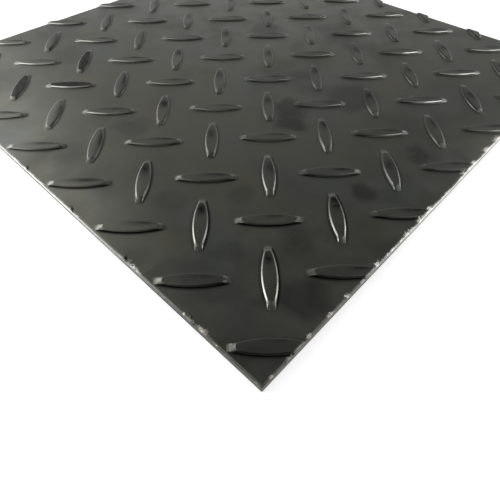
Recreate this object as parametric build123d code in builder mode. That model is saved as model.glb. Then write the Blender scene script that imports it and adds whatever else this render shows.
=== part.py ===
"""Checker steel plate: a square sheared from hot-rolled floor plate, its top face covered in raised lugs.

Millimetres, +Z up. The sheet lies flat with its plain underside on Z = 0 and its middle at the origin.
X runs along the front edge and Y along the left edge, both away from the front left corner.
"""

import os
from math import ceil

from build123d import *

# The sheet
PLATE_LENGTH = 250.0
PLATE_WIDTH = 250.0
PLATE_THICKNESS = 3.0
EDGE_ROLLOVER = 0.4  # how far the shear blade drags the top edges down and in, drawn as a bevel

# The lug pattern: lugs of one heading on a grid, those of the other heading in the middles of its cells
REPEAT_LENGTH = 37.0
REPEAT_WIDTH = 33.7
FIRST_LUG_FROM_LEFT = 10.5
FIRST_LUG_FROM_FRONT = 6.5
LUG_HEADING = 45.0  # degrees between each lug and the sheared edges

# One lug, measured at its foot on the face of the sheet
LUG_LENGTH = 25.4
LUG_WIDTH = 5.9
LUG_END_WIDTH = 2.5
LUG_HEIGHT = 0.9

# How far the lug leans in at each side and at each end, first up to its shoulder and then on to its flat crown
FLANK_RUN = 0.15
END_RUN = 1.4
SHOULDER_DROP = 0.4  # from the crown down to the shoulder
SHOULDER_RUN = 0.5
SHOULDER_END_RUN = 1.4


def lug_outline(side_run, end_run):
    """A lug seen from above where its sides and ends have leaned in so far: two bows joined by blunt ends."""
    tip = LUG_LENGTH / 2 - end_run
    side = LUG_WIDTH / 2 - side_run
    blunt = side * LUG_END_WIDTH / LUG_WIDTH
    with BuildSketch() as outline:
        with BuildLine():
            near_side = ThreePointArc((-tip, -blunt), (0, -side), (tip, -blunt))
            far_side = ThreePointArc((tip, blunt), (0, side), (-tip, blunt))
            Line(near_side @ 1, far_side @ 0)
            Line(far_side @ 1, near_side @ 0)
        make_face()
    return outline.sketch


# The lug stands on its own XY plane. Its root goes down past the rolled-over edge of the sheet,
# so a lug that the shear cuts through still runs straight down to the cut face.
with BuildPart() as lug:
    with BuildSketch(Plane.XY.offset(-EDGE_ROLLOVER)):
        add(lug_outline(0, 0))
    with BuildSketch(Plane.XY):
        add(lug_outline(0, 0))
    with BuildSketch(Plane.XY.offset(LUG_HEIGHT - SHOULDER_DROP)):
        add(lug_outline(FLANK_RUN, END_RUN))
    with BuildSketch(Plane.XY.offset(LUG_HEIGHT)):
        add(lug_outline(FLANK_RUN + SHOULDER_RUN, END_RUN + SHOULDER_END_RUN))
    loft(ruled=True)

# The grid starts one repeat outside the sheet and ends outside it too: the rolls print the pattern
# without end, and the shear cuts through whatever lies on its line.
columns = ceil(PLATE_LENGTH / REPEAT_LENGTH) + 2
rows = ceil(PLATE_WIDTH / REPEAT_WIDTH) + 2
grid_left = -PLATE_LENGTH / 2 + FIRST_LUG_FROM_LEFT - REPEAT_LENGTH
grid_front = -PLATE_WIDTH / 2 + FIRST_LUG_FROM_FRONT - REPEAT_WIDTH
grid_start = (Align.MIN, Align.MIN)
falling_corner = (grid_left, grid_front, PLATE_THICKNESS)
rising_corner = (grid_left + REPEAT_LENGTH / 2, grid_front + REPEAT_WIDTH / 2, PLATE_THICKNESS)

with BuildPart() as checker_plate:
    with BuildSketch(Plane.XY):
        Rectangle(PLATE_LENGTH, PLATE_WIDTH)
    extrude(amount=PLATE_THICKNESS)
    chamfer(checker_plate.edges().group_by(Axis.Z)[-1], length=EDGE_ROLLOVER)
    with Locations(falling_corner):
        with GridLocations(REPEAT_LENGTH, REPEAT_WIDTH, columns, rows, align=grid_start):
            add(lug.part, rotation=(0, 0, -LUG_HEADING))
    with Locations(rising_corner):
        with GridLocations(REPEAT_LENGTH, REPEAT_WIDTH, columns, rows, align=grid_start):
            add(lug.part, rotation=(0, 0, LUG_HEADING))
    # The shear trims every lug that reaches past the sheet.
    with BuildSketch(Plane.XY):
        Rectangle(PLATE_LENGTH, PLATE_WIDTH)
    extrude(amount=PLATE_THICKNESS + LUG_HEIGHT, mode=Mode.INTERSECT)

checker_plate.part.label = "checker_plate"
os.makedirs("parts", exist_ok=True)
export_step(checker_plate.part, "parts/checker_plate.step")
print(f"checker_plate: {checker_plate.part.volume:.0f} cubic mm, {len(checker_plate.faces())} faces")
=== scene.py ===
# %% [markdown]
# # A checker steel plate
#
# Checker plate is hot-rolled steel sheet for floors and steps. The last pair of rolls has an engraved
# roll on top, so the sheet leaves the mill with lens-shaped lugs on one face and a plain face below.
# A guillotine then shears a piece off, straight through whatever lugs lie on its line. This lesson
# dresses such a piece: first the frame with its true sizes, then the camera, the rolled and sheared
# shape, its finishes, and the studio around it.

# %% Load the frame and keep its sizes
from math import asin, cos, pi, radians, sin
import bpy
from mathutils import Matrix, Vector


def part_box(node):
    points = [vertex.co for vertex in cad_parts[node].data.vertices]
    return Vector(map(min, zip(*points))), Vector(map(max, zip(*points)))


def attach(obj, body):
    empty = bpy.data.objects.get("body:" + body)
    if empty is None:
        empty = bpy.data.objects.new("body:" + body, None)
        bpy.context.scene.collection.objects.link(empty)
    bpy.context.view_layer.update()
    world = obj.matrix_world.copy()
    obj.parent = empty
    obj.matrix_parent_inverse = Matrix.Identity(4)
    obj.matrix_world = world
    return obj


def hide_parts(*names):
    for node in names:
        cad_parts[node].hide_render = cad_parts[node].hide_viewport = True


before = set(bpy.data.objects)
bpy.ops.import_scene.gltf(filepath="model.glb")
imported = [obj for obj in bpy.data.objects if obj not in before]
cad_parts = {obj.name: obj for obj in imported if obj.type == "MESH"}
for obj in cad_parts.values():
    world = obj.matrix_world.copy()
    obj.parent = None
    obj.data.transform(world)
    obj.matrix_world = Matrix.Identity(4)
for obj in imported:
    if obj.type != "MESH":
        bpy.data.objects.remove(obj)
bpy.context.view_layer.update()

from types import SimpleNamespace

import bmesh
import bpy
import numpy as np
from mathutils import Matrix, Vector, noise
from mathutils.geometry import delaunay_2d_cdt

PLATE = "checker_plate"
MM = 0.001
low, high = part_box(PLATE)
plate_size = high - low
print("plate in mm:", [round(side / MM, 2) for side in plate_size])

# %% [markdown]
# ## The camera
#
# The plate was photographed from close by with a wide lens, looking down on one corner, so the lugs
# shrink fast towards the back. Guessing such a view by eye takes many tries. It is quicker to measure
# lug tips and edges in the picture and solve for the camera once. What is kept here is the answer:
# where the lens stood, where it pointed and how much it saw.

# %% Camera
EYE = Vector((-157.34, -150.80, 113.28)) * MM
HEADING = radians(43.34)  # from +X towards +Y
TILT_DOWN = radians(50.97)
ROLL = radians(0.37)
SENSOR = 36.0
LENS = 29.70
SHIFT = -0.0006  # of the picture's width, since the photo isn't centred quite on the lens
NEAREST_SEEN = 5 * MM


def new_object(name, data):
    """Puts an object into the scene."""
    made = bpy.data.objects.new(name, data)
    bpy.context.scene.collection.objects.link(made)
    return made


aim = Vector((cos(HEADING) * cos(TILT_DOWN), sin(HEADING) * cos(TILT_DOWN), -sin(TILT_DOWN)))
pointed = aim.to_track_quat("-Z", "Y").to_matrix().to_4x4()
rolled = Matrix.Rotation(ROLL, 4, "Z")
camera_data = bpy.data.cameras.new("photo_camera")
camera_data.sensor_width = SENSOR
camera_data.lens = LENS
camera_data.shift_x = SHIFT
camera_data.clip_start = NEAREST_SEEN
camera = new_object("photo_camera", camera_data)
camera.matrix_world = Matrix.Translation(EYE) @ pointed @ rolled
bpy.context.scene.camera = camera
print("camera height in mm:", round(camera.location.z / MM, 1))

# %% [markdown]
# ## One lug
#
# From above, a lug is two shallow bows that meet in blunt ends. In section it has a small fillet at
# its foot, a steep flank, a narrow sloping shoulder and a crown that is almost flat, and each end is one
# long ramp. The shoulder matters most: it is the strip that catches the light as a thin bright line.
# A lug could be a squashed sphere or a sculpted blob, but then the shoulder would be soft. Here the
# section is a path of corners, each rounded a little, and every point of the path becomes a ring round
# the lug.

# %% Lug sizes
THICKNESS = 3.0 * MM
LUG_HEIGHT = plate_size.z - THICKNESS
LUG_LENGTH = 25.4 * MM
LUG_WIDTH = 5.9 * MM
LUG_END_WIDTH = 2.5 * MM
END_BOW = 0.2 * MM  # how far the blunt ends bulge
END_RAMP = 2.8 * MM  # how long each end ramp is, from the foot to the crown
SHOULDER_FOOT = (0.15 * MM, 0.50 * MM)  # run in from the foot, and height
SHOULDER_TOP = (0.67 * MM, 0.87 * MM)
FOOT_ROUND = 0.10 * MM
SHOULDER_ROUND = 0.08 * MM
CROWN_ROUND = 0.10 * MM
GUARD = 1.00 * MM  # a flat ring round the foot keeps the smooth shading off the sheet
CROWN_SHARES = (0.93, 0.6, 0.3)  # rings on the crown, as shares of its rim
print("lug height in mm:", round(LUG_HEIGHT / MM, 2))

# %% Lug section
CORNER_STEPS = 3


def rounded_corner(before, corner, after, reach):
    """Points along a soft corner that starts and ends at the given reach from it."""
    before, corner, after = Vector(before), Vector(corner), Vector(after)
    first = corner + (before - corner).normalized() * reach
    last = corner + (after - corner).normalized() * reach
    shares = np.linspace(0, 1, CORNER_STEPS + 1)
    return [first * (1 - s) ** 2 + corner * 2 * s * (1 - s) + last * s**2 for s in shares]


def lug_section():
    """Run in at the sides, run in at the ends, and height of each ring, from the guard to the inner crown."""
    crown = (LUG_WIDTH / 2, LUG_HEIGHT)
    path = rounded_corner((-GUARD, 0), (0, 0), SHOULDER_FOOT, FOOT_ROUND)
    path += rounded_corner((0, 0), SHOULDER_FOOT, SHOULDER_TOP, SHOULDER_ROUND)
    path += rounded_corner(SHOULDER_FOOT, SHOULDER_TOP, crown, CROWN_ROUND)
    rings = [(-FOOT_ROUND - GUARD, -GUARD, 0.0)]
    rings += [(point.x, END_RAMP * point.y / LUG_HEIGHT, point.y) for point in path]
    rim_run, rim_end, rim_height = rings[-1]
    for share in CROWN_SHARES:
        inset = (LUG_WIDTH / 2 - rim_run) * (1 - share)
        rise = (LUG_HEIGHT - rim_height) * (1 - share**2)
        rings.append((rim_run + inset, rim_end + inset, rim_height + rise))
    return rings


section = lug_section()
for run, end_run, height in section:
    print("ring in by", round(run / MM, 2), "at the sides,", round(end_run / MM, 2), "at the ends,",
          "up", round(height / MM, 2))

# %% Lug rings and faces
SIDE_STEPS = 16
END_STEPS = 3
HALF_RING = SIDE_STEPS + END_STEPS
RING_COUNT = 2 * HALF_RING  # points in one ring


def lug_ring(run, end_run):
    """Points round a lug, anticlockwise from above, where its sides and ends have leaned in so far."""
    side = LUG_WIDTH / 2 - run
    tip = LUG_LENGTH / 2 - END_BOW - end_run
    blunt = side * LUG_END_WIDTH / LUG_WIDTH
    bow = side - blunt
    radius = (tip**2 + bow**2) / (2 * bow)
    swing = np.linspace(-asin(tip / radius), asin(tip / radius), SIDE_STEPS + 1)
    near_side = np.column_stack([radius * np.sin(swing), radius * (1 - np.cos(swing)) - side])
    across = np.linspace(-1, 1, END_STEPS + 1)[1:-1]
    right_end = np.column_stack([tip + END_BOW * (1 - across**2), blunt * across])
    half = np.vstack([near_side, right_end])
    return np.vstack([half, -half])


def lug_faces():
    """Faces between neighbouring rings, then across the crown from side to side."""
    faces = []
    for ring in range(len(section) - 1):
        outer = ring * RING_COUNT
        inner = outer + RING_COUNT
        for k in range(RING_COUNT):
            after = (k + 1) % RING_COUNT
            faces.append((outer + k, outer + after, inner + after, inner + k))
    top = (len(section) - 1) * RING_COUNT
    for k in range(SIDE_STEPS):
        far = HALF_RING + SIDE_STEPS - k
        faces.append((top + k, top + k + 1, top + far - 1, top + far))
    faces.append(tuple(top + k for k in range(SIDE_STEPS, HALF_RING + 1)))
    faces.append(tuple(top + k % RING_COUNT for k in range(HALF_RING + SIDE_STEPS, RING_COUNT + 1)))
    return faces


def lug_points():
    """Points of one lug that lies along X at the origin, ring by ring."""
    rings = []
    for run, end_run, height in section:
        ring = lug_ring(run, end_run)
        rings.append(np.column_stack([ring, np.full(len(ring), THICKNESS + height)]))
    return np.vstack(rings)


one_lug = lug_points()
one_lug_faces = lug_faces()
print("one lug:", len(one_lug), "points,", len(one_lug_faces), "faces")

# %% [markdown]
# ## Painted shade and oil on a lug
#
# The steep flanks and a thin strip of sheet round their feet are painted black as shade, at the foot more on
# the sides away from the light, and oil stays on the crowns. A node material can't know where a lug starts
# and ends, and an image of the shade would need an unwrap. So each point of a lug carries two numbers, its
# painted shade and its oil, and the material reads them.

# %% Where the painted shade lies on a lug
FOOT_RING = 1
FLANK_SHADE = (1, 1, 1, 1, 0.8, 0.3)  # painted shade, ring by ring up from the foot
FOOT_SHADE_RISING = (1.0, 0.6)  # painted shade at the foot of the lugs that rise to the back: on the right, on the left
FOOT_SHADE_FALLING = (0.7, 0.2)  # painted shade at the foot of the others: on the near and on the far side
END_SHADE = 0.1  # the open end ramps get little painted shade
RINGS_BELOW_RIM = 9
RIM_OIL = (0.3, 0.7)
RINGS_ON_CROWN = len(section) - RINGS_BELOW_RIM - len(RIM_OIL)
RING_OIL = (0,) * RINGS_BELOW_RIM + RIM_OIL + (1,) * RINGS_ON_CROWN


def lug_shade(foot_shade):
    """Painted shade at each point of one lug."""
    by_ring = np.zeros(len(section))
    by_ring[FOOT_RING] = 1
    flank = FOOT_RING + 1
    by_ring[flank:flank + len(FLANK_SHADE)] = FLANK_SHADE
    along_side = [END_SHADE] + [1] * (SIDE_STEPS - 1) + [END_SHADE] * END_STEPS
    painted_shade = np.outer(by_ring, along_side * 2)
    first_side, second_side = foot_shade
    painted_shade[FOOT_RING, :HALF_RING] *= first_side
    painted_shade[FOOT_RING, HALF_RING:] *= second_side
    return painted_shade.ravel()


# the painted shade on a lug of either heading
shade_rising = lug_shade(FOOT_SHADE_RISING)
shade_falling = lug_shade(FOOT_SHADE_FALLING)
lug_crown = np.repeat(RING_OIL, RING_COUNT)
# counts the points of a lug that carry painted shade
print("blackened points of a lug:", int((shade_rising > 0).sum()), "on its crown:", int((lug_crown == 1).sum()))

# %% [markdown]
# ## The rolled sheet
#
# The engraved roll prints its pattern without end: lugs of one heading on a grid, and lugs of the other
# heading in the middles of its cells. So the pattern is laid out past the edges of the piece first, whole
# lugs and all. The face between them is flat with lens-shaped holes in it. Drawing it as a grid would need
# far too many faces to follow the feet of the lugs, so a constrained triangulation fills in the space
# between the foot rings exactly.

# %% Where the lugs stand
REPEAT_LENGTH = 37.0 * MM
REPEAT_WIDTH = 33.7 * MM
FIRST_LUG_FROM_LEFT = 10.5 * MM
FIRST_LUG_FROM_FRONT = 6.5 * MM
LUG_HEADING = radians(45)
LUG_REACH = LUG_LENGTH / 2 * cos(LUG_HEADING) + LUG_WIDTH / 2
ON_THE_GRID = 0.0  # shares of a cell
IN_MID_CELL = 0.5


def lug_places():
    """(x, y, heading) of every lug that touches the piece."""
    places = []
    for heading, shift in ((-LUG_HEADING, ON_THE_GRID), (LUG_HEADING, IN_MID_CELL)):
        columns = range(-1, int(plate_size.x / REPEAT_LENGTH) + 2)
        rows = range(-1, int(plate_size.y / REPEAT_WIDTH) + 2)
        for column in columns:
            for row in rows:
                x = low.x + FIRST_LUG_FROM_LEFT + (column + shift) * REPEAT_LENGTH
                y = low.y + FIRST_LUG_FROM_FRONT + (row + shift) * REPEAT_WIDTH
                if abs(x) < high.x + LUG_REACH and abs(y) < high.y + LUG_REACH:
                    places.append((x, y, heading))
    return places


places = lug_places()
print("lugs on the piece, whole and cut:", len(places))

# %% Oil on the crowns
FILM = (0.00, 0.14)  # least and most cover over a whole crown
PATCH = (0.65, 1.00)  # the same for one darker patch on it
# Where the patch lies along and across a lug, and how far it reaches, as shares of half its length and width
RISING_PATCH = {"along": (0.10, 0.60), "across": (-0.35, 0.10), "length": 0.30, "width": 0.80}
FAR_LEFT_PATCH = {"along": (0.10, 0.30), "across": (-0.70, -0.45), "length": 0.70, "width": 0.50}
FALLING_PATCH = {"along": (0.20, 0.45), "across": (0.28, 0.52), "length": 0.52, "width": 0.40}
FAR_LEFT = 80 * MM  # how much further y than x has to be
HEAVY_FILM = (  # x and y in millimetres of the lugs that are black all over, and the cover there
    (-96, 67, 0.95),
    (-78, 50, 0.95),
    (-59, 67, 0.95),
    (-59, -102, 0.40),
)
HEAVY_REACH = 4 * MM
chance = np.random.default_rng(seed=12)


def crown_oil(x, y, heading):
    """Oil cover at each point of one lug, different for every lug."""
    patch = RISING_PATCH if heading > 0 else FALLING_PATCH
    if heading > 0 and y - x > FAR_LEFT:
        patch = FAR_LEFT_PATCH
    along = one_lug[:, 0] / (LUG_LENGTH / 2) - chance.uniform(*patch["along"])
    across = one_lug[:, 1] / (LUG_WIDTH / 2) - chance.uniform(*patch["across"])
    cover = np.exp(-((along / patch["length"]) ** 2) - (across / patch["width"]) ** 2)
    film = chance.uniform(*FILM)
    for heavy_x, heavy_y, cover_there in HEAVY_FILM:
        if abs(x - heavy_x * MM) + abs(y - heavy_y * MM) < HEAVY_REACH:
            film = cover_there
    return lug_crown * np.clip(film + chance.uniform(*PATCH) * cover, 0, 1)


oil_of_lugs = [crown_oil(x, y, heading) for x, y, heading in places]
mean_oil = np.mean([oil[lug_crown == 1].mean() for oil in oil_of_lugs])
print("mean oil on a crown:", round(float(mean_oil), 2))

# %% Lay out the sheet
MARGIN = 2.5 * LUG_REACH  # the rolled sheet reaches past the shear lines by this much
WELD = 0.001 * MM
SAME_POINT = WELD / 10
WHOLE_HULL = 0  # the triangulation's way that fills the outline of all points


def lay_out_sheet():
    """Points and faces of the flat face and of the lugs on it, and the painted shade and oil at each point.
    """
    lugs = []
    for x, y, heading in places:
        turn = np.array([[cos(heading), sin(heading)], [-sin(heading), cos(heading)]])
        lugs.append(np.column_stack([one_lug[:, :2] @ turn + (x, y), one_lug[:, 2]]))
    flat = [Vector(point[:2]) for lug in lugs for point in lug[:RING_COUNT]]
    feet = [list(range(n * RING_COUNT, (n + 1) * RING_COUNT)) for n in range(len(lugs))]
    for x in (low.x - MARGIN, high.x + MARGIN):
        for y in (low.y - MARGIN, high.y + MARGIN):
            flat.append(Vector((x, y)))
    points, _, triangles, _, _, inside = delaunay_2d_cdt(flat, [], feet, WHOLE_HULL, SAME_POINT)
    all_points = [(p.x, p.y, THICKNESS) for p in points]
    all_faces = [tuple(face) for face, lug in zip(triangles, inside) if not lug]
    painted_shade = [0.0] * len(all_points)
    oil = [0.0] * len(all_points)
    for lug, cover, (_, _, heading) in zip(lugs, oil_of_lugs, places):
        start = len(all_points)
        all_points.extend(map(tuple, lug))
        all_faces.extend(tuple(start + k for k in face) for face in one_lug_faces)
        painted_shade.extend(shade_rising if heading > 0 else shade_falling)
        oil.extend(cover)
    return all_points, all_faces, painted_shade, oil


sheet_points, sheet_faces, sheet_shade, sheet_oil = lay_out_sheet()
print("rolled sheet:", len(sheet_points), "points,", len(sheet_faces), "faces")

# %% [markdown]
# ## The shear
#
# A guillotine leaves its own marks. The blade first drags the top edge down, then slides and burnishes the
# upper part of the cut, and then the rest tears and leaves a dull, slightly leaning face with a sharp lower
# edge. A solid could be cut with a boolean, but that leaves nothing to bend. Instead four cutting planes
# trim the sheet with its lugs, extra cuts beside each of them give the dragged edge something to bend, and
# the cut face is drawn down from the border in steps.

# %% The rolled sheet as a mesh


def rolled_sheet():
    """The whole sheet as an editable mesh whose points carry their painted shade and oil."""
    bm = bmesh.new()
    shade_layer = bm.verts.layers.float.new("painted_shade")
    oil_layer = bm.verts.layers.float.new("crown_oil")
    made = [bm.verts.new(point) for point in sheet_points]
    for vert, painted_shade, oil in zip(made, sheet_shade, sheet_oil):
        vert[shade_layer] = painted_shade
        vert[oil_layer] = oil
    for face in sheet_faces:
        bm.faces.new([made[k] for k in face])
    bmesh.ops.remove_doubles(bm, verts=bm.verts[:], dist=WELD)
    return bm


sheet = rolled_sheet()
print("welded sheet:", len(sheet.verts), "points")

# %% Shear the sheet to size
DRAG_WIDTH = 0.9 * MM
DRAG_DEPTH = 0.3 * MM
DRAG_POWER = 2.4
DRAG_ROWS = (0.9 * MM, 0.6 * MM, 0.35 * MM, 0.15 * MM)
SHEAR_LINES = (  # the way out of the piece, and how far out the blade passes
    (Vector((-1, 0, 0)), -low.x),
    (Vector((1, 0, 0)), high.x),
    (Vector((0, -1, 0)), -low.y),
    (Vector((0, 1, 0)), high.y),
)


def slice_sheet(outward, reach, trim=False):
    """Cuts the sheet along a line, and drops what lies outside it if asked to."""
    bmesh.ops.bisect_plane(sheet, geom=sheet.verts[:] + sheet.edges[:] + sheet.faces[:], dist=WELD,
                           plane_co=outward * reach, plane_no=outward, clear_outer=trim)


def border_distance(point):
    """How far a point lies inside the nearest shear line."""
    return min(reach - outward.dot(point) for outward, reach in SHEAR_LINES)


for outward, reach in SHEAR_LINES:
    for row in DRAG_ROWS:
        slice_sheet(outward, reach - row)
for outward, reach in SHEAR_LINES:
    slice_sheet(outward, reach, trim=True)
for vert in sheet.verts:
    inside = border_distance(vert.co)
    if inside < DRAG_WIDTH:
        vert.co.z -= DRAG_DEPTH * (1 - inside / DRAG_WIDTH) ** DRAG_POWER
print("sheared sheet:", len(sheet.verts), "points,", len(sheet.faces), "faces")

# %% Find the border
COLUMN = 0.9 * MM  # the cut face has a point at least this often


def split_border(bm):
    """Divides long border edges into columns."""
    by_cuts = {}
    for edge in bm.edges:
        if edge.is_boundary:
            cuts = int(edge.calc_length() / COLUMN)
            by_cuts.setdefault(cuts, []).append(edge)
    for cuts, edges in sorted(by_cuts.items()):
        if cuts:
            bmesh.ops.subdivide_edges(bm, edges=edges, cuts=cuts)


def border_loop(bm):
    """The border's points in order."""
    first = next(edge for edge in bm.edges if edge.is_boundary)
    loop = [first.verts[0], first.verts[1]]
    while True:
        step = next(edge for edge in loop[-1].link_edges if edge.is_boundary and loop[-2] not in edge.verts)
        vert = step.other_vert(loop[-1])
        if vert is loop[0]:
            return loop
        loop.append(vert)


def inwards(point):
    """Direction from the border into the piece: square to one side, or both ways at a corner."""
    direction = Vector((0, 0, 0))
    for outward, reach in SHEAR_LINES:
        if reach - outward.dot(point) < WELD:
            direction -= outward
    return direction


split_border(sheet)
border = border_loop(sheet)
ways_in = [inwards(vert.co) for vert in border]
print("border points:", len(border))

# %% Draw the cut faces down to the underside
CUT_STEPS = (  # share of the height, lean inwards, roughness
    (0.92, 0.02 * MM, 0.01 * MM),
    (0.80, 0.00 * MM, 0.01 * MM),
    (0.62, 0.00 * MM, 0.01 * MM),
    (0.54, 0.01 * MM, 0.03 * MM),
    (0.36, 0.02 * MM, 0.05 * MM),
    (0.16, 0.01 * MM, 0.05 * MM),
    (0.04, 0.00 * MM, 0.02 * MM),
    (0.00, 0.03 * MM, 0.01 * MM),
)
TOP_LEAN = 0.05 * MM
TEAR_SCALE = 0.7 / MM
CUT_FACE = 1  # the material slot of the cut; slot 0 is the rolled face

tops = [vert.co.copy() for vert in border]
ring = border
for share, lean, rough in CUT_STEPS:
    next_ring = []
    for top, way in zip(tops, ways_in):
        spot_on_cut = Vector((top.x, top.y, top.z * share))
        tear = 0.5 + 0.5 * noise.noise(spot_on_cut * TEAR_SCALE)
        next_ring.append(sheet.verts.new(spot_on_cut + way * (lean + rough * tear)))
    for k in range(len(ring)):
        after = (k + 1) % len(ring)
        face = sheet.faces.new((ring[k], next_ring[k], next_ring[after], ring[after]))
        face.material_index = CUT_FACE
    ring = next_ring
for vert, way in zip(border, ways_in):
    vert.co += way * TOP_LEAN
sheet.faces.new(ring)
bmesh.ops.triangulate(sheet, faces=[face for face in sheet.faces if len(face.verts) > 4])
bmesh.ops.recalc_face_normals(sheet, faces=sheet.faces[:])
print("open edges left:", sum(edge.is_boundary for edge in sheet.edges))

# %% Make the piece that stands for the plate
SHARP = radians(38)
skin_mesh = bpy.data.meshes.new("checker_plate_skin")
sheet.to_mesh(skin_mesh)
sheet.free()
skin_mesh.polygons.foreach_set("use_smooth", [True] * len(skin_mesh.polygons))
skin_mesh.set_sharp_from_angle(angle=SHARP)
skin = new_object("checker_plate_skin", skin_mesh)
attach(skin, "root")
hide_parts(PLATE)
triangles = sum(len(polygon.vertices) - 2 for polygon in skin_mesh.polygons)
print("skin triangles:", triangles)

# %% [markdown]
# ## The finishes
#
# Two finishes meet on this plate. Hot rolling leaves a thin black oxide, the mill scale, which is smooth,
# a little oily and shines like dark metal. The shear opens bare steel, which is bright and streaked by the
# blade. Both could be painted on an unwrapped image. Here they are drawn with nodes that read the place on
# the plate in millimetres, so no unwrapping is needed and nothing blurs close up. Fine grain and scratches
# belong to both, so they are a node group that is built once.

# %% Helpers that add nodes
NUMBER_STEPS = ("DOT_PRODUCT", "DISTANCE", "LENGTH")  # vector arithmetic whose result is a plain number


def put(socket, value):
    """Fills an input with a plain value, or links another node's output to it."""
    if isinstance(value, bpy.types.NodeSocket):
        socket.id_data.links.new(value, socket)
    else:
        socket.default_value = value


def fill(made, **inputs):
    """Fills a node's inputs, whose names are written with _ for a space."""
    for name, value in inputs.items():
        put(made.inputs[name.replace("_", " ")], value)


def node(kind, options=None, values=(), tree=None, **inputs):
    """Adds a node, by default beside those that feed it. Inputs are given in their order or by name."""
    feeds = [value for value in (*values, *inputs.values()) if isinstance(value, bpy.types.NodeSocket)]
    made = (tree or feeds[0].id_data).nodes.new("ShaderNode" + kind)
    for name, value in (options or {}).items():
        setattr(made, name, value)
    for socket, value in zip(made.inputs, values):
        put(socket, value)
    fill(made, **inputs)
    return made


def calc(operation, *values):
    """One step of arithmetic with numbers."""
    return node("Math", {"operation": operation}, values).outputs[0]


def vector_calc(operation, *values):
    """One step of arithmetic with places or directions."""
    outputs = node("VectorMath", {"operation": operation}, values).outputs
    return outputs["Value" if operation in NUMBER_STEPS else "Vector"]


def new_material(name):
    """A material, its node tree and its shader."""
    material = bpy.data.materials.new(name)
    material.use_nodes = True
    return material, material.node_tree, material.node_tree.nodes["Principled BSDF"]


print("vector steps that give a number:", *NUMBER_STEPS)

# %% Helpers that mix masks and colours
MIX_FIRST, MIX_SECOND, MIX_RESULT = 6, 7, 2  # the Mix node's sockets for colours


def chain(operation, values):
    """The same step of arithmetic from value to value."""
    result = values[0]
    for value in values[1:]:
        result = calc(operation, result, value)
    return result


def product(*values):
    """Masks and numbers multiplied together."""
    return chain("MULTIPLY", values)


def total(*values):
    """Values added together."""
    return chain("ADD", values)


def strongest(*masks):
    """The largest of several masks."""
    return chain("MAXIMUM", masks)


def span(value, start, end, least=0.0, most=1.0):
    """Eases from one value to another while the input goes from start to end."""
    smooth = {"interpolation_type": "SMOOTHSTEP"}
    return node("MapRange", smooth, (value, start, end, least, most)).outputs[0]


def spans(*pairs):
    """Several spans multiplied together, each given as its input and its numbers."""
    return product(*[span(value, *numbers) for value, numbers in pairs])


def blend(share, first, second):
    """Mixes two colours."""
    made = node("Mix", {"data_type": "RGBA"}, [share])
    put(made.inputs[MIX_FIRST], first)
    put(made.inputs[MIX_SECOND], second)
    return made.outputs[MIX_RESULT]


print("a span is: where it starts, where it ends, and its value at both, which is 0 and 1 if none is given")

# %% Helpers that read the place and make noise
SOFT_DETAIL = 3.0
SOFT_ROUGH = 0.5
MID_GREY = (0.5, 0.5, 0.5)  # what noise is on average


def millimetres(tree):
    """The place on the plate in millimetres from its middle."""
    place = node("TexCoord", tree=tree).outputs["Object"]
    return node("VectorMath", {"operation": "SCALE"}, Vector=place, Scale=1 / MM).outputs[0]


def stretch(place, x, y, z, turn=0.0):
    """Turns a place about the vertical and scales it along each axis."""
    return node("Mapping", Vector=place, Rotation=(0, 0, turn), Scale=(x, y, z)).outputs[0]


def noise_at(place, size, detail=SOFT_DETAIL, rough=SOFT_ROUGH):
    """Soft noise whose blotches are about so many millimetres across."""
    return node("TexNoise", Vector=place, Scale=1 / size, Detail=detail, Roughness=rough).outputs[0]


def patches(place, size, start, end, least=0.0, most=1.0, detail=SOFT_DETAIL):
    """A span of soft noise, as patches about so many millimetres across."""
    return span(noise_at(place, size, detail), start, end, least, most)


def wandering(place, size, reach):
    """Shifts a place by soft noise, so that round masks become ragged."""
    shift = node("TexNoise", Vector=place, Scale=1 / size, Detail=SOFT_DETAIL).outputs["Color"]
    centred = vector_calc("SUBTRACT", shift, MID_GREY)
    return vector_calc("MULTIPLY_ADD", centred, (reach, reach, reach), place)


print("noise has", SOFT_DETAIL, "layers of detail unless a finish asks for more")

# %% Grain and scratches, for both finishes
GRAIN_DETAIL = 4.0
GRAIN_ROUGH = 0.6
SCRATCHES_PER_MM = 3.0
SCRATCH_DETAIL = 2.0
SCRATCH_SPAN = (0.62, 0.72)
GRAIN_INPUTS = (("Place", "NodeSocketVector"), ("Grain Size", "NodeSocketFloat"),
                ("Scratch Length", "NodeSocketFloat"))
GRAIN_OUTPUTS = ("Grain", "Scratches")


def steel_grain_group():
    """Fine grain, and thin scratches along one direction, from a place in millimetres."""
    tree = bpy.data.node_groups.new("steel_grain", "ShaderNodeTree")
    for name, kind in GRAIN_INPUTS:
        tree.interface.new_socket(name, in_out="INPUT", socket_type=kind)
    for name in GRAIN_OUTPUTS:
        tree.interface.new_socket(name, in_out="OUTPUT", socket_type="NodeSocketFloat")
    given = tree.nodes.new("NodeGroupInput").outputs
    result = tree.nodes.new("NodeGroupOutput").inputs
    fine = calc("DIVIDE", 1.0, given["Grain Size"])
    grain = node("TexNoise", Vector=given["Place"], Scale=fine, Detail=GRAIN_DETAIL,
                 Roughness=GRAIN_ROUGH).outputs[0]
    along = calc("DIVIDE", 1.0, given["Scratch Length"])
    squeeze = node("CombineXYZ", X=along, Y=SCRATCHES_PER_MM, Z=SCRATCHES_PER_MM).outputs[0]
    drawn = vector_calc("MULTIPLY", given["Place"], squeeze)
    lines = noise_at(drawn, 1, SCRATCH_DETAIL)
    put(result["Grain"], grain)
    put(result["Scratches"], span(lines, *SCRATCH_SPAN))
    return tree


steel_grain = steel_grain_group()


def steel_grain_at(place, grain_size, scratch_length):
    """Places the grain group in a material."""
    made = node("Group", {"node_tree": steel_grain}, (place, grain_size, scratch_length))
    return [made.outputs[name] for name in GRAIN_OUTPUTS]


print("node group:", steel_grain.name, "with", len(steel_grain.nodes), "nodes")

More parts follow.
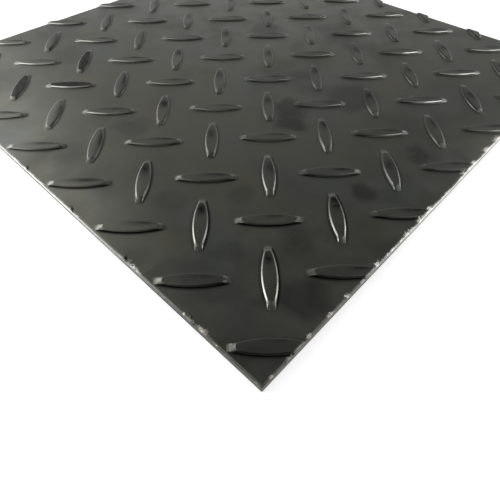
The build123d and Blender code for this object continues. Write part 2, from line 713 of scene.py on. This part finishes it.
# %% [markdown]
# ## Mill scale: the oxide
#
# The scale isn't one even black: the oxide runs from olive to brown and blue, in blotches a few centimetres
# wide. One noise through a colour ramp would give bands that follow each other everywhere. Two separate
# noises, one turned against the other, let brown and blue overlap freely.

# %% Colours of the oxide
SCALE_OLIVE = (0.150, 0.154, 0.130, 1)
SCALE_BROWN = (0.160, 0.150, 0.116, 1)
SCALE_BLUE = (0.137, 0.151, 0.151, 1)
BROWN_PATCHES = (26, 0.5, 0.7, 0, 0.5)  # size in millimetres, then a span of the noise
BLUE_PATCHES = (34, 0.5, 0.7, 0, 0.45)
BLUE_TURN = 1.0  # radians


def oxide_colour(place):
    """Olive with brown and blue patches."""
    brown = patches(place, *BROWN_PATCHES)
    blue = patches(stretch(place, 1, 1, 1, BLUE_TURN), *BLUE_PATCHES)
    return blend(blue, blend(brown, SCALE_OLIVE, SCALE_BROWN), SCALE_BLUE)


print("oxide patches in mm:", BROWN_PATCHES[0], "brown,", BLUE_PATCHES[0], "blue")

# %% [markdown]
# ## Mill scale: oil
#
# Oil and handling leave broad dark clouds and some darker smudges on the flat face, and a black film on the
# crowns, where the sheets lie on each other in the stack. Noise alone would put the smudges anywhere. So the
# ones that were seen are listed by their place, and noise only makes their rims ragged. The film on the
# crowns differs from lug to lug and comes from the numbers that the mesh carries.

# %% Oil smudges, clouds and film
SCALE_OIL = (0.064, 0.065, 0.060, 1)
CROWN_OIL = (0.008, 0.008, 0.0075, 1)
OIL_SMUDGES = (  # x, y and radius in millimetres, strength
    (-25, -52, 9, 0.9),
    (-20, -46.5, 10, 0.8),
    (-17, -42, 9, 0.8),
    (10, -26, 8, 0.5),
    (-96, -51, 9, 0.35),
    (-77, -68, 9, 0.35),
    (-78, 0, 12, 0.45),
    (52, -85, 10, 0.3),
    (12, -58, 17, 0.6),
    (-41, -101, 10, 0.9),
    (-5, -106, 8, 0.8),
    (-96, -116, 11, 0.8),
    (-76, -99, 10, 0.6),
    (-99, -84, 9, 0.4),
    (38, 22, 15, 0.6),
    (70, 84, 18, 0.7),
    (-60, 80, 14, 0.4),
)
CLEAN_PLACES = ((-85, 48, 42), (-41, 33, 30), (-22, -118, 12))  # x, y and radius where no cloud lies
SPOT_CORE = 0.35  # share of its radius within which a spot is at its strongest
SMUDGE_RAGGED = (16, 16)  # size of the noise and how far it shifts a rim
CLOUDS = (45, 0.45, 0.75, 0, 0.55)
CLOUD_DETAIL = 4.0
FILM_PATCHES = (3, 0.3, 0.5, 0.75, 1)


def spot(place, x, y, radius):
    """A soft round mask on the plate."""
    flat = vector_calc("MULTIPLY", place, (1, 1, 0))
    away = vector_calc("DISTANCE", flat, (x, y, 0))
    return span(away, radius, radius * SPOT_CORE)


def oil_on_face(place):
    """Oil on the flat face, in smudges and clouds."""
    ragged = wandering(place, *SMUDGE_RAGGED)
    smudges = [product(spot(ragged, x, y, radius), strength) for x, y, radius, strength in OIL_SMUDGES]
    clouds = patches(place, *CLOUDS, CLOUD_DETAIL)
    for x, y, radius in CLEAN_PLACES:
        clouds = product(clouds, calc("SUBTRACT", 1.0, spot(ragged, x, y, radius)))
    return strongest(*smudges, clouds)


def carried(place, name):
    """A number that the mesh carries."""
    return node("Attribute", {"attribute_name": name}, tree=place.id_data).outputs["Fac"]


def film_on_crowns(place):
    """The black film that the mesh carries, a little patchy."""
    return product(carried(place, "crown_oil"), patches(place, *FILM_PATCHES))


print("oil smudges:", len(OIL_SMUDGES), "places free of clouds:", len(CLEAN_PLACES))

# %% [markdown]
# ## Mill scale: painted light and wear on the lugs
#
# Whatever slides over such a plate rubs the raised parts first, the sloping shoulders and the end ramps. Over
# that, light and shade are painted into the colour: painted highlights on the shoulders near the front
# corner, on the near shoulders at the back and on the ramps that face a light, and painted shade on the
# shoulders further back and on the flanks. A mask of all sharp edges would treat every lug alike. So these
# masks ask which way a face looks, how steep it is and where on the plate it lies.

# %% What the masks read
LEFTWARD = (-0.71, 0.71, 0)  # left and near are meant for a viewer at the plate's front left corner
NEARWARD = (-0.71, -0.71, 0)


def surface_readings(tree):
    """The place in millimetres, which way the face looks, and how steep it is."""
    place = millimetres(tree)
    normal = node("NewGeometry", tree=tree).outputs["Normal"]
    x, y, height = node("SeparateXYZ", Vector=place).outputs
    return SimpleNamespace(
        place=place, x=x, y=y, height=height,
        level=node("SeparateXYZ", Vector=normal).outputs[2],  # 1 on a level face, 0 on an upright one
        looks_left=vector_calc("DOT_PRODUCT", normal, LEFTWARD),
        looks_near=vector_calc("DOT_PRODUCT", normal, NEARWARD),
        how_left=vector_calc("DOT_PRODUCT", place, LEFTWARD),  # millimetres from the middle
        how_near=vector_calc("DOT_PRODUCT", place, NEARWARD))


print("left and near point along", LEFTWARD, "and", NEARWARD)

# %% Shoulders with painted highlights
# painted highlight on the shoulders that face the lights, in uneven patches
SHOULDER_HIGHLIGHT = (0.48, 0.48, 0.44, 1)
SHOULDER_STEEPEST = (0.60, 0.70)  # how level a shoulder is
SHOULDER_FLATTEST = (0.92, 0.87)
TO_THE_LEFT = (0.15, 0.45)  # how far a face looks to the left
TO_THE_RIGHT = (-0.15, -0.45)
LEFT_RIM_TURN = (-0.08, 0.13)  # how far it looks near, from a rim's far end to its near end
RIGHT_RIM_TURN = (-0.02, 0.13)
LEFT_FAR_END = (-30, 60, 0, 0.48)  # by how far left on the plate
LEFT_NEAR_RISE = (-85, -35)
LEFT_NEAR_FALL = (40, -20, 0.15, 1)
LEFT_NEAR_DEPTH = (50, 115, 0.12, 1)  # by how near on the plate
RIGHT_FAR_END = 0.22
RIGHT_NEAR_END = (-70, -10, 0.25, 0.85)
RIGHT_NEAR_DEPTH = (40, 120, 0.2, 1)


def shoulder_slope(at):
    """The strip between the steep flank and the crown."""
    return spans((at.level, SHOULDER_STEEPEST), (at.level, SHOULDER_FLATTEST))


def highlit_rims(at):
    """How strong the painted highlight is on the left and right shoulders, from their far end to their near
    one.
    """
    left_far = span(at.how_left, *LEFT_FAR_END)
    left_near = calc("MINIMUM", span(at.how_left, *LEFT_NEAR_RISE), span(at.how_left, *LEFT_NEAR_FALL))
    left_near = product(left_near, span(at.how_near, *LEFT_NEAR_DEPTH))
    right_near = spans((at.how_left, RIGHT_NEAR_END), (at.how_near, RIGHT_NEAR_DEPTH))
    left_turn = (*LEFT_RIM_TURN, left_far, left_near)
    right_turn = (*RIGHT_RIM_TURN, RIGHT_FAR_END, right_near)
    left = spans((at.looks_near, left_turn), (at.looks_left, TO_THE_LEFT))
    right = spans((at.looks_near, right_turn), (at.looks_left, TO_THE_RIGHT))
    return calc("ADD", left, right)


print("brightened shoulders go from level", SHOULDER_STEEPEST[0], "to", SHOULDER_FLATTEST[0])

# %% Painted shade on the shoulders further back, and painted highlight streaks along the near ones
# black painted shade, for the flanks and their feet and for the shoulders further back
PAINTED_SHADE_BLACK = (0.006, 0.006, 0.0055, 1)
# painted highlight along the near shoulders of the lugs at the back
STREAK_HIGHLIGHT = (0.80, 0.80, 0.74, 1)
RIGHT_DUSK = (110, 50, 0.15, 0.78)  # by how near on the plate
LEFT_DUSK = (110, 40, 0, 0.52)
LEFT_DUSK_SIDE = (60, 10, 0.3, 1)  # by how far left on the plate
RIGHT_HALF = (0.03, -0.06)  # halves of the near shoulder, by how far they look to the left
LEFT_HALF = (-0.03, 0.06)
RIGHT_STREAK_SIDE = (-20, -95)
LEFT_STREAK_SIDE = (45, 95, 0, 0.75)
STREAK_DEPTH = (80, 45)
FAINT_STREAK_DEPTH = (70, 20, 0, 0.22)
NEAR_SHOULDER = (0.40, 0.50)  # how far a face looks near


def shaded_rims(at):
    """Painted shade on the left and right shoulders towards the back of the plate."""
    right = spans((at.looks_left, TO_THE_RIGHT), (at.how_near, RIGHT_DUSK))
    left = spans((at.looks_left, TO_THE_LEFT), (at.how_near, LEFT_DUSK), (at.how_left, LEFT_DUSK_SIDE))
    return calc("ADD", left, right)


def near_streaks(at):
    """Painted highlight streaks on the near shoulders of the lugs at the back, strongest at both sides of the
    plate.
    """
    right = spans((at.looks_left, RIGHT_HALF), (at.how_left, RIGHT_STREAK_SIDE))
    left = spans((at.looks_left, LEFT_HALF), (at.how_left, LEFT_STREAK_SIDE))
    at_sides = product(strongest(right, left), span(at.how_near, *STREAK_DEPTH))
    anywhere = span(at.how_near, *FAINT_STREAK_DEPTH)
    return product(strongest(at_sides, anywhere), span(at.looks_near, *NEAR_SHOULDER))


print("streaks start", STREAK_DEPTH[0], "mm nearer than the plate's middle")

# %% End ramps, and the painted shade on the flanks
# painted highlight and wear on the end ramps that face a light
RAMP_WEAR_AND_HIGHLIGHT = (0.42, 0.42, 0.38, 1)
RAMP_STEEPEST = (0.90, 0.93)  # how level a ramp is
RAMP_FLATTEST = (0.985, 0.965)
SPECKLES = (0.9, 0.42, 0.58)
LEFT_SPECKLES = (0, 1, 0.55, 1)  # the painted highlight and wear on left ramps are more even
LEFT_RAMP = (0.10, 0.24, 0, 0.70)  # by how far a face looks to the left
LEFT_RAMP_SIDE = (-35, 45, 0.10, 1)
RIGHT_RAMP = (-0.10, -0.24, 0, 0.9)
RIGHT_RAMP_SIDE = (10, -40, 0.5, 1)
SIDE_RAMP_TURN = (0.16, 0.08)  # a side ramp doesn't look near
SIDE_RAMP_DEPTH = (5, 40, 0.3, 1)
NEAR_RAMP_TURN = (0.10, 0.24)
NEAR_RAMP_LEAST = 0.02
NEAR_RAMP_DEPTH = (100, 30, 0.06, 0.5)
# the painted shade on the flanks gets darker towards the front corner
SHADE_DEPTH = (40, 125, 0.2, 1)


def ramp_wear_and_highlights(at):
    """Painted highlights and wear on the end ramps of the lugs."""
    speckled = patches(at.place, *SPECKLES)
    left = spans((at.looks_left, LEFT_RAMP), (at.how_left, LEFT_RAMP_SIDE), (speckled, LEFT_SPECKLES))
    right = spans((at.looks_left, RIGHT_RAMP), (at.how_left, RIGHT_RAMP_SIDE))
    right = product(right, speckled)
    at_side = spans((at.looks_near, SIDE_RAMP_TURN), (at.how_near, SIDE_RAMP_DEPTH))
    side = product(strongest(left, right), at_side)
    near_most = span(at.how_near, *NEAR_RAMP_DEPTH)
    near = span(at.looks_near, *NEAR_RAMP_TURN, NEAR_RAMP_LEAST, near_most)
    ramp = spans((at.level, RAMP_STEEPEST), (at.level, RAMP_FLATTEST))
    return product(ramp, strongest(side, near))


def flank_shade(at):
    """The painted shade that the mesh carries, darker near the front corner."""
    return product(carried(at.place, "painted_shade"), span(at.how_near, *SHADE_DEPTH))


print("ramps go from level", RAMP_STEEPEST[0], "to", RAMP_FLATTEST[0])

# %% All painted light and wear on the lugs, in order
RAISED = (3.15, 3.3)  # height in millimetres from which a lug gets painted highlights and wear
# patches that make the painted highlights and wear on raised parts uneven
UNEVEN_PATCHES = (5, 0.25, 0.55, 0.45, 1)


def dress_lugs(at, colour):
    """Lays painted shade, painted highlights and wear over the oxide, each on top of the one before."""
    uneven = product(span(at.height, *RAISED), patches(at.place, *UNEVEN_PATCHES))
    slope = shoulder_slope(at)
    # painted shade on back shoulders, painted highlights on shoulders and ramps, painted shade on flanks
    layers = (
        (product(slope, shaded_rims(at)), PAINTED_SHADE_BLACK),
        (product(slope, near_streaks(at)), STREAK_HIGHLIGHT),
        (product(slope, highlit_rims(at), uneven), SHOULDER_HIGHLIGHT),
        (product(ramp_wear_and_highlights(at), uneven), RAMP_WEAR_AND_HIGHLIGHT),
        (flank_shade(at), PAINTED_SHADE_BLACK),
    )
    for mask, layer in layers:
        colour = blend(mask, colour, layer)
    return colour


print("lugs can be brightened from", RAISED[0], "mm up")

# %% [markdown]
# ## Mill scale: flaked edges
#
# The blade bends the border of the sheet, and the brittle scale cracks off there and bares specks of steel,
# some of them rusty. Even noise along the border would look like a printed trim. The flakes that were seen
# are listed by their place, a thin broken line and a band along the front edge join them, and fine specks
# cut all of them into crumbs.

# %% Flaked edges
BARE_STEEL = (0.92, 0.90, 0.85, 1)
RUST_BROWN = (0.26, 0.225, 0.155, 1)
EDGE_SCUFFS = (  # x, y, and reach in x and in y, in millimetres
    (-124.7, -92.1, 1.1, 0.9),
    (-125.3, -95.3, 2.5, 2.4),
    (-125.2, -100.6, 2.4, 3.6),
    (-125.2, -106.5, 1, 3),
    (-126, -66.5, 3.4, 8.5),
    (-120.8, -125.5, 2.4, 1.9),
    (-113.4, -125.3, 2.6, 1.8),
    (-104, -124.7, 1.7, 1.5),
    (-93.5, -124.8, 2.6, 1.3),
    (-84.6, -124.7, 1.9, 1.7),
    (-76.7, -124.8, 2.2, 1.1),
    (-67.2, -124.6, 2.4, 1.9),
    (-48.1, -124.7, 3.2, 1.6),
    (-39.2, -124.6, 2.6, 1.7),
    (-31, -124.5, 3, 1.9),
    (-3.1, -124.5, 3, 2),
    (6.1, -124.6, 3.5, 2.1),
    (18.3, -124.5, 5, 2.4),
    (29, -124.4, 5, 2.6),
    (124.6, -30, 2, 4),
    (124.6, 66, 1.6, 3),
    (52, 124.6, 4, 2.2),
    (-37, 124.7, 3, 1.5),
    (-124.8, 62, 1.3, 2.4),
)
FLAKE_RAGGED = (1.2, 1.2)
BAND_SIDE = (-122, -123)  # x or y at which the flaked band begins
FRONT_BAND_START = (-95, -60)  # x from which the front edge has the band
LEFT_BAND_START = (-60, -20)  # y from which the left edge has it
LEFT_BAND_SHARE = 0.8
BAND_REACH = (1.3, 0)  # how far the band reaches in
BAND_PATCHES = (7, 0.35, 0.55, 0.4, 0.8)
LINE_REACH = (0.45, 0)
LINE_PATCHES = (3, 0.45, 0.60, 0.1, 0.6)


def flake(place, x, y, reach_x, reach_y):
    """A longish mask that falls evenly from its middle to its rim."""
    shifted = vector_calc("SUBTRACT", place, (x, y, 0))
    scaled = vector_calc("MULTIPLY", shifted, (1 / reach_x, 1 / reach_y, 0))
    away = vector_calc("LENGTH", scaled)
    return calc("MAXIMUM", calc("SUBTRACT", 1.0, away), 0.0)


def from_border(at):
    """Distance from the nearest sheared edge in millimetres."""
    across = calc("SUBTRACT", high.x / MM, calc("ABSOLUTE", at.x))
    along = calc("SUBTRACT", high.y / MM, calc("ABSOLUTE", at.y))
    return calc("MINIMUM", across, along)


def flaked_places(at):
    """Where the scale is loose: single flakes, a band along two edges, and a broken line along all."""
    ragged = wandering(at.place, *FLAKE_RAGGED)
    flakes = [flake(ragged, *scuff) for scuff in EDGE_SCUFFS]
    inside = from_border(at)
    front = spans((at.y, BAND_SIDE), (at.x, FRONT_BAND_START))
    left = spans((at.x, BAND_SIDE), (at.y, LEFT_BAND_START))
    banded = strongest(front, product(left, LEFT_BAND_SHARE))
    band = product(span(inside, *BAND_REACH), banded, patches(at.place, *BAND_PATCHES))
    line = product(span(inside, *LINE_REACH), patches(at.place, *LINE_PATCHES))
    return strongest(*flakes, band, line)


print("flakes along the edges:", len(EDGE_SCUFFS))

# %% Specks, and rust on the bare steel
SPECKS = (0.9, 5, 0.7)  # size, detail and roughness of the noise
FLAKE_PULL = 0.6  # how much a loose place adds to the specks
FLAKED = (0.66, 1.02)
RUST_PATCHES = (6, 0.56, 0.70, 0, 0.6)
CORNER_RUST = (135, 165, 0, 0.6)  # by how near on the plate


def bare_specks(at):
    """The mask of bare steel, and the noise that breaks it up."""
    specks = noise_at(at.place, *SPECKS)
    pull = product(flaked_places(at), FLAKE_PULL)
    return span(calc("ADD", specks, pull), *FLAKED), specks


def bare_colour(at):
    """Bare steel with rust in patches and at the near corner."""
    rust = strongest(patches(at.place, *RUST_PATCHES), span(at.how_near, *CORNER_RUST))
    return blend(rust, BARE_STEEL, RUST_BROWN)


print("rust covers at most", RUST_PATCHES[-1], "of the bare steel")

# %% [markdown]
# ## Mill scale, put together
#
# Now the layers come together in one material: the oxide, the oil on it, the lugs, the flaked edges and
# last a few faint scratches. The oil makes the crowns less metallic and the face a little duller, and the
# relief of grain, slow waves and crumbs is far too small to model, so it is a bump.

# %% Mill scale
OIL_IOR = 1.2  # of the oil and dirt
MILL_GRAIN = (0.5, 14)  # size of the grain and length of the scratches
SCRATCHED_PATCHES = (30, 0.5, 0.7, 0, 0.12)
FILM_METAL = (0, 1, 1, 0.2)  # metallic without and with the film
DULL_PATCHES = (11, 0.35, 0.65, 0.27, 0.36)
DULL_DETAIL = 4.0
GRAIN_DULL = 0.05
OIL_DULL = 0.08
WAVES = (5, 2)  # size and detail
GRAIN_RELIEF = 0.010 * MM
WAVE_RELIEF = 0.03 * MM
CRUMB_RELIEF = 0.35 * MM


def mill_scale():
    """The rolled face with its oxide, oil, painted light and wear on the lugs, and flaked edges."""
    material, tree, shader = new_material("mill_scale")
    shader.inputs["IOR"].default_value = OIL_IOR
    at = surface_readings(tree)
    place = at.place
    grain, scratches = steel_grain_at(place, *MILL_GRAIN)
    oil = oil_on_face(place)
    film = film_on_crowns(place)
    colour = blend(oil, oxide_colour(place), SCALE_OIL)
    colour = blend(film, colour, CROWN_OIL)
    colour = dress_lugs(at, colour)
    flaked, specks = bare_specks(at)
    colour = blend(flaked, colour, bare_colour(at))
    scratched = product(scratches, patches(place, *SCRATCHED_PATCHES))
    colour = blend(scratched, colour, BARE_STEEL)
    dull = patches(place, *DULL_PATCHES, DULL_DETAIL)
    dull = total(dull, product(grain, GRAIN_DULL), product(oil, OIL_DULL))
    waves = noise_at(place, *WAVES)
    bumps = total(product(grain, GRAIN_RELIEF), product(waves, WAVE_RELIEF),
                  product(flaked, specks, CRUMB_RELIEF))
    relief = node("Bump", Height=bumps, Strength=1.0, Distance=1.0).outputs[0]
    metal = span(film, *FILM_METAL)
    fill(shader, Base_Color=colour, Metallic=metal, Roughness=dull, Normal=relief)
    return material


mill = mill_scale()
skin_mesh.materials.append(mill)
print(mill.name, "has", len(mill.node_tree.nodes), "nodes")

# %% [markdown]
# ## Sheared steel
#
# The cut face is bare metal. Its upper part is burnished by the blade and its lower part torn and duller, and
# that lower part is also painted dark as the shade where the cut meets the floor. Fine upright drag lines run
# all along, and near the front corner the cut is a darker grey. Modelling the lines would cost far too many
# faces, so they are stretched noise in the roughness and the bump.

# %% Sheared steel
BURNISHED = (0.90, 0.89, 0.86, 1)
# dark of torn steel, made darker still as painted shade where the cut meets the floor
TORN_AND_SHADE = (0.05, 0.048, 0.045, 1)
# the cut is a darker grey near the front corner
CORNER_GREY = (0.034, 0.033, 0.030, 1)
CORNER_GREY_REACH = 110.0  # millimetres from the near corner within which the cut is a darker grey
CORNER_GREY_RAGGED = (20, 24)
CUT_GRAIN = (0.35, 2)  # size of the grain and length of the scratches
DRAG_LINE = 0.5
DRAG_STRETCH = 0.08  # the lines run upright
DRAG_STAIN = (0.5, 0.75, 0, 0.30)
TEAR_LINE = (1.75, 1.35)  # height in millimetres at which the burnished part ends
TEAR_SIZE = 4.0
TEAR_WANDER = 0.8
CUT_RUST = (9, 0.56, 0.72, 0, 0.2)
CUT_DULLNESS = (0, 1, 0.30, 0.45)  # burnished and torn
DRAG_DULL = 0.12
SCRATCH_SHINE = 0.08
CUT_GRAIN_SHARE = 0.5
CUT_RELIEF = 0.03 * MM


def sheared_steel():
    """The cut face: burnished above, torn below and painted dark there as shade."""
    material, tree, shader = new_material("sheared_steel")
    shader.inputs["Metallic"].default_value = 1.0
    place = millimetres(tree)
    height = node("SeparateXYZ", Vector=place).outputs[2]
    grain, scratches = steel_grain_at(place, *CUT_GRAIN)
    drag = noise_at(stretch(place, 1.0, 1.0, DRAG_STRETCH), DRAG_LINE)
    tear_height = total(height, product(noise_at(place, TEAR_SIZE), TEAR_WANDER))
    torn = span(tear_height, *TEAR_LINE)
    ragged = wandering(place, *CORNER_GREY_RAGGED)
    # a ragged round patch of darker grey at the front corner
    near_corner = spot(ragged, low.x / MM, low.y / MM, CORNER_GREY_REACH)
    colour = blend(near_corner, BURNISHED, CORNER_GREY)
    colour = blend(torn, colour, TORN_AND_SHADE)
    # the drag lines are stained with this dark too
    colour = blend(span(drag, *DRAG_STAIN), colour, TORN_AND_SHADE)
    rust = patches(place, *CUT_RUST)
    colour = blend(rust, colour, RUST_BROWN)
    dull = total(span(torn, *CUT_DULLNESS), product(drag, DRAG_DULL))
    dull = calc("SUBTRACT", dull, product(scratches, SCRATCH_SHINE))
    lines = total(drag, product(grain, CUT_GRAIN_SHARE))
    bumps = product(lines, CUT_RELIEF)
    relief = node("Bump", Height=bumps, Strength=1.0, Distance=1.0).outputs[0]
    fill(shader, Base_Color=colour, Roughness=dull, Normal=relief)
    return material


cut = sheared_steel()
skin_mesh.materials.append(cut)
print(cut.name, "has", len(cut.node_tree.nodes), "nodes")

# %% [markdown]
# ## The studio
#
# Dark shiny metal shows its surroundings more than its own colour. This plate lay between two wide soft
# panels with a narrow lamp beside each, and two smaller lamps hung high. A pale wall stands ahead, the
# ceiling is dim with a faint glow straight up, a low pale screen runs all round, and the rest of the room is
# dark: that is why the shoulders of the lugs are drawn in light and their near flanks are black. A picture
# of a real studio could light it too, but a few named lamps are easier to tune. The floor is white paper.
# Its own small glow lifts it to white where the camera or a mirror looks at it, and keeps the plate's shadow.

# %% Floor
FLOOR_SIDE = 6.0
FLOOR_GAP = 0.05 * MM
PAPER = (0.85, 0.85, 0.85, 1)
PAPER_ROUGH = 0.9
PAPER_SPECULAR = 0.2
PAPER_GLOW = 0.66
GLOW_COLOUR = (1, 1, 1, 1)


def white_paper():
    """Matt paper that glows a little for the camera and in mirrors, but lights nothing."""
    material, tree, shader = new_material("white_paper")
    fill(shader, Base_Color=PAPER, Roughness=PAPER_ROUGH, Specular_IOR_Level=PAPER_SPECULAR)
    path = node("LightPath", tree=tree).outputs
    seen = strongest(path["Is Camera Ray"], path["Is Glossy Ray"], path["Is Transmission Ray"])
    fill(shader, Emission_Color=GLOW_COLOUR, Emission_Strength=product(seen, PAPER_GLOW))
    return material


half = FLOOR_SIDE / 2
corners = [(-half, -half, 0), (half, -half, 0), (half, half, 0), (-half, half, 0)]
floor_mesh = bpy.data.meshes.new("studio_floor")
floor_mesh.from_pydata(corners, [], [(0, 1, 2, 3)])
floor_mesh.materials.append(white_paper())
floor = new_object("studio_floor", floor_mesh)
floor.location.z = low.z - FLOOR_GAP
print("floor side in m:", FLOOR_SIDE)

# %% Lights
LEFT = Vector((-sin(HEADING), cos(HEADING), 0))
AHEAD = Vector((cos(HEADING), sin(HEADING), 0))
SOFTBOXES = (  # name, degrees left of straight ahead and up, metres away, width, height, brightness
    ("left_panel", 74, 28, 0.85, 1.10, 0.82, 1.05),
    ("left_lamp", 86, 16, 0.80, 0.80, 0.40, 2.8),
    ("right_panel", -82, 21, 0.85, 1.10, 0.60, 0.90),
    ("right_lamp", -90, 7, 0.80, 0.90, 0.15, 2.4),
    ("left_high_lamp", 112, 58, 0.85, 0.46, 0.40, 1.2),
    ("right_high_lamp", -100, 56, 0.85, 0.42, 0.28, 1.7),
)


def direction(bearing, rise):
    """The way to something so many degrees left of straight ahead and so many above the floor."""
    flat = AHEAD * cos(radians(bearing)) + LEFT * sin(radians(bearing))
    return flat * cos(radians(rise)) + Vector((0, 0, sin(radians(rise))))


def softbox(name, bearing, rise, away, width, tall, brightness):
    """A rectangular lamp that faces the plate; its power follows from how bright its face is."""
    data = bpy.data.lights.new(name, "AREA")
    data.shape = "RECTANGLE"
    data.size = width
    data.size_y = tall
    data.energy = brightness * pi * width * tall
    lamp = new_object(name, data)
    lamp.location = direction(bearing, rise) * away
    lamp.rotation_euler = (-lamp.location).to_track_quat("-Z", "Y").to_euler()
    print(name, "power in W:", round(data.energy, 2))


for settings in SOFTBOXES:
    softbox(*settings)

# %% Surroundings
ROOM_DARK = (0.02, 0.02, 0.02, 1)
CEILING_DIM = (0.065, 0.065, 0.065, 1)
CEILING_AT = (0, 70)  # degrees left of straight ahead, and up
CEILING_REACH = (0.55, 0.90)
WALL_PALE = (0.60, 0.60, 0.59, 1)
WALL_AT = (9, 10)  # the brightest part of the wall
WALL_POWER = 4.0
ZENITH_GLOW = (0.26, 0.26, 0.26, 1)
ZENITH_AT = (180, 85)
ZENITH_REACH = (0.934, 0.998)
SCREEN_PALE = (0.80, 0.80, 0.80, 1)
SCREEN_TOP = 16.5  # degrees above the floor
SCREEN_FADE = 3


def towards(looking, bearing, rise):
    """How directly a ray looks one way: 1 straight at it, 0 square to it."""
    return calc("MAXIMUM", vector_calc("DOT_PRODUCT", looking, direction(bearing, rise)), 0.0)


def room_colour(tree):
    """The colour of the room in every direction."""
    looking = node("TexCoord", tree=tree).outputs["Generated"]
    overhead = span(towards(looking, *CEILING_AT), *CEILING_REACH)
    wall = calc("POWER", towards(looking, *WALL_AT), WALL_POWER)
    zenith = span(towards(looking, *ZENITH_AT), *ZENITH_REACH)
    steepness = node("SeparateXYZ", Vector=looking).outputs[2]
    screen = span(steepness, sin(radians(SCREEN_TOP + SCREEN_FADE)), sin(radians(SCREEN_TOP)))
    colour = blend(overhead, ROOM_DARK, CEILING_DIM)
    colour = blend(wall, colour, WALL_PALE)
    colour = blend(zenith, colour, ZENITH_GLOW)
    return blend(screen, colour, SCREEN_PALE)


world = bpy.data.worlds.new("studio")
bpy.context.scene.world = world
world.use_nodes = True
room = world.node_tree
fill(room.nodes["Background"], Color=room_colour(room))
bpy.context.scene.view_settings.view_transform = "Standard"
print("world nodes:", len(room.nodes))
